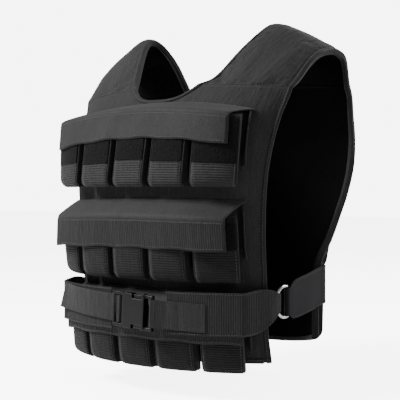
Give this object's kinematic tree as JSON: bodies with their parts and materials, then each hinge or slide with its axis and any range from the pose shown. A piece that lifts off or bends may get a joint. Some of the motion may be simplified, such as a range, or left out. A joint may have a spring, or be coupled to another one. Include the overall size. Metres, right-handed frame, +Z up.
{
  "type": "weighted vest",
  "caption": "Weighted training vest with padded shoulders, rows of loaded pockets under cover flaps on front and back, and a webbing waist belt with side rings and a side-release buckle.",
  "frame": {"origin": "midway between the shoulders, at the height of the underside of the shoulder pads, where the wearer or a hanger carries the vest", "axes": "-Y is the front of the vest, +X the wearer's left, +Z up"},
  "size_m": [0.4144, 0.3868, 0.4909],
  "materials": {
    "cloth": "matt black woven nylon over thin padding",
    "pocket": "black pocket cloth faced with ribbed webbing",
    "flap": "black woven nylon, slight sheen",
    "webbing": "black ribbed webbing",
    "strap": "smooth black-blue strap",
    "tape": "folded binding tape",
    "buckle": "satin black",
    "ring": "bright steel"
  },
  "bodies": {
    "root": {"front_panel": "cloth", "front_hem": "tape", "pocket_front_1_1": "pocket", "pocket_front_1_2": "pocket", "pocket_front_1_3": "pocket", "pocket_front_1_4": "pocket", "pocket_front_1_5": "pocket", "flap_front_1": "flap", "pocket_front_2_1": "pocket", "pocket_front_2_2": "pocket", "pocket_front_2_3": "pocket", "pocket_front_2_4": "pocket", "pocket_front_2_5": "pocket", "flap_front_2": "flap", "pocket_front_3_1": "pocket", "pocket_front_3_2": "pocket", "pocket_front_3_3": "pocket", "pocket_front_3_4": "pocket", "pocket_front_3_5": "pocket", "flap_front_3": "flap", "back_panel": "cloth", "back_hem": "tape", "pocket_back_1_1": "pocket", "pocket_back_1_2": "pocket", "pocket_back_1_3": "pocket", "pocket_back_1_4": "pocket", "flap_back_1": "flap", "pocket_back_2_1": "pocket", "pocket_back_2_2": "pocket", "pocket_back_2_3": "pocket", "pocket_back_2_4": "pocket", "flap_back_2": "flap", "pocket_back_3_1": "pocket", "pocket_back_3_2": "pocket", "pocket_back_3_3": "pocket", "pocket_back_3_4": "pocket", "flap_back_3": "flap", "shoulder_left": "cloth", "armhole_tape_left": "tape", "belt_left": "webbing", "side_strap_left": "strap", "ring_left": "ring", "shoulder_right": "cloth", "armhole_tape_right": "tape", "belt_right": "webbing", "side_strap_right": "strap", "ring_right": "ring", "neck_tape": "tape", "buckle_male": "buckle", "buckle_female": "buckle", "webbing_tail": "webbing", "webbing_patch": "webbing"}
  },
  "joints": []
}
